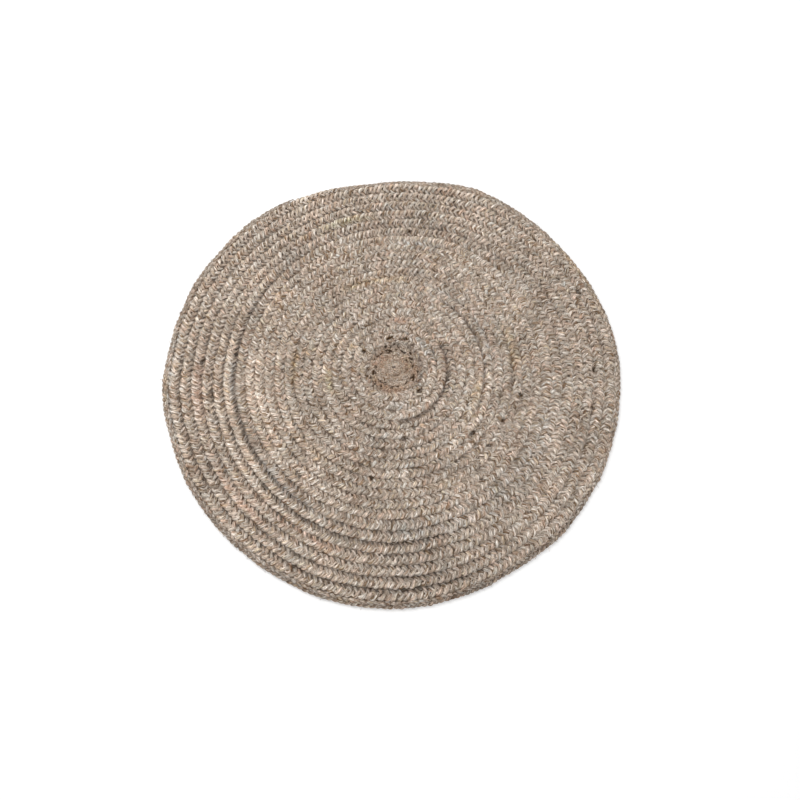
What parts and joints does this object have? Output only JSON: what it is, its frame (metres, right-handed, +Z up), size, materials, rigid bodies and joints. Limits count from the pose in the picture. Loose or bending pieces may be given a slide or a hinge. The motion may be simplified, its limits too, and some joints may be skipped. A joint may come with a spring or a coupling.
{
  "type": "round braided jute rug",
  "caption": "Flat round rug wound from a jute braid, its turns laced edge to edge, with a slightly uneven rim where the braid's tapered end is sewn down.",
  "frame": {"origin": "middle of the rug's outline box, on the floor below it", "axes": "+Z up out of the rug's face; -Y towards the camera of the picture; the braid's outer end lies about 104 degrees anticlockwise from +X seen from above"},
  "size_m": [1.0078, 0.9896, 0.0111],
  "materials": {
    "jute_braid": "matt undyed jute yarn, greige with straw, olive and brown flecks"
  },
  "bodies": {
    "root": {"rug": "jute_braid"}
  },
  "joints": []
}
